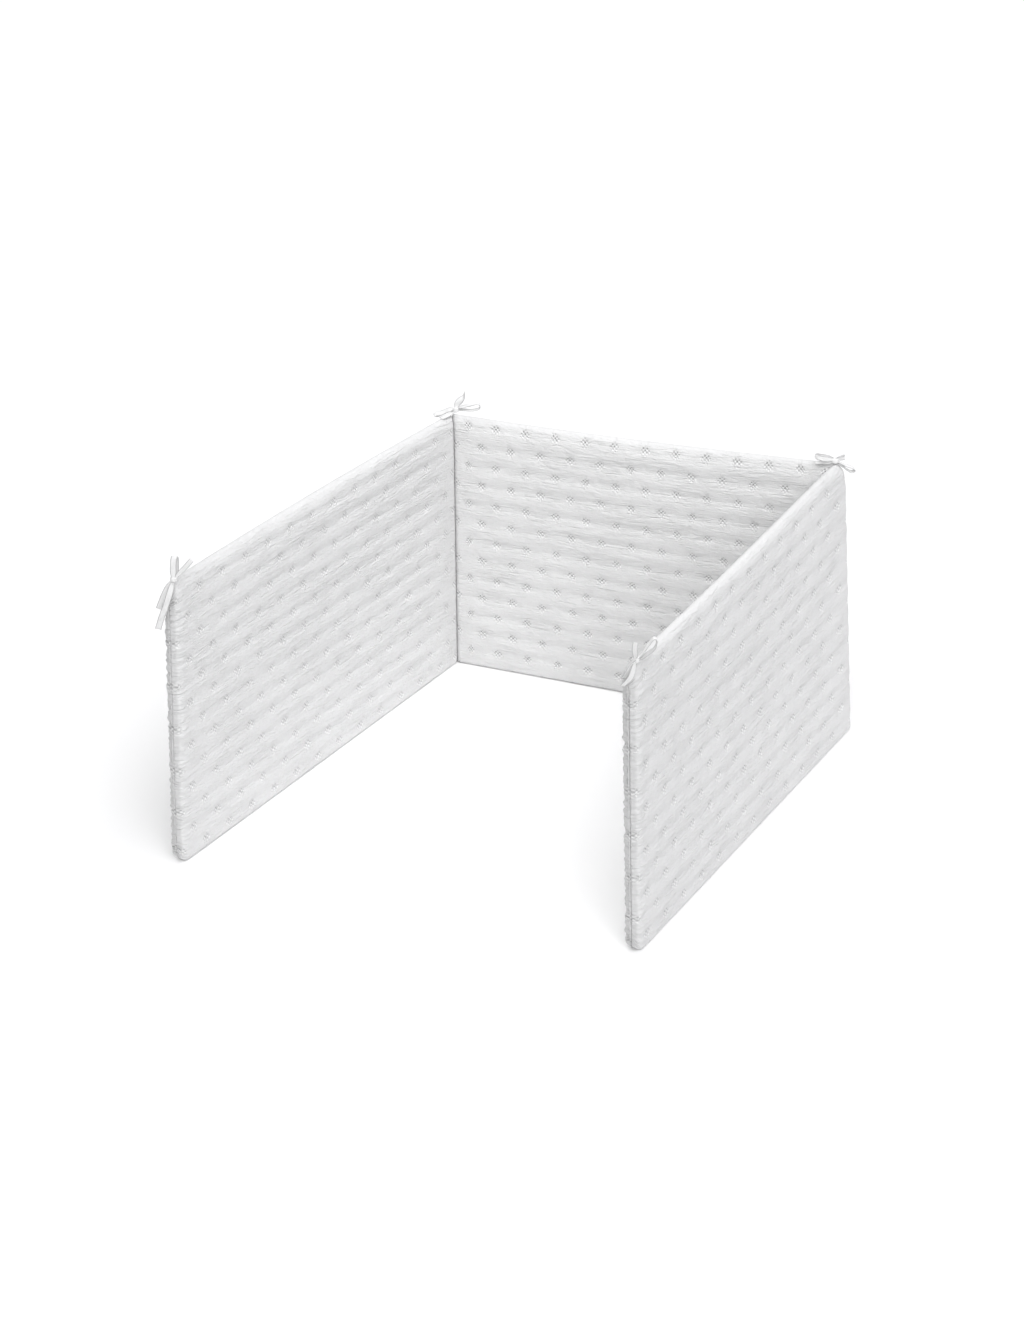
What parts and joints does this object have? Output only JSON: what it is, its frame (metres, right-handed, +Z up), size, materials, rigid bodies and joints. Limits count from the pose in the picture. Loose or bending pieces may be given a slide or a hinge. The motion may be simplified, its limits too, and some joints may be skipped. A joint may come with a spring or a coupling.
{
  "type": "crib bumper",
  "caption": "Quilted padded cot bumper standing in a U, with a diamond grid of tufts, soft rounded edges, folded corners and ribbon bows at its top corners.",
  "frame": {"origin": "on the floor, under the middle of the bounding box", "axes": "+X along the back panel to the right seen from the open front, +Y towards the back panel, +Z up"},
  "size_m": [0.7488, 0.6097, 0.4431],
  "materials": {
    "quilted_cloth": "matte quilted cotton",
    "seam_cloth": "matte cotton fold",
    "ribbon_cloth": "matte cotton tape"
  },
  "bodies": {
    "root": {"panel_left": "quilted_cloth", "panel_back": "quilted_cloth", "panel_right": "quilted_cloth", "seam_back_left": "seam_cloth", "seam_back_right": "seam_cloth", "tie_back_left": "ribbon_cloth", "tie_back_right": "ribbon_cloth", "tie_front_left": "ribbon_cloth", "tie_front_right": "ribbon_cloth"}
  },
  "joints": []
}
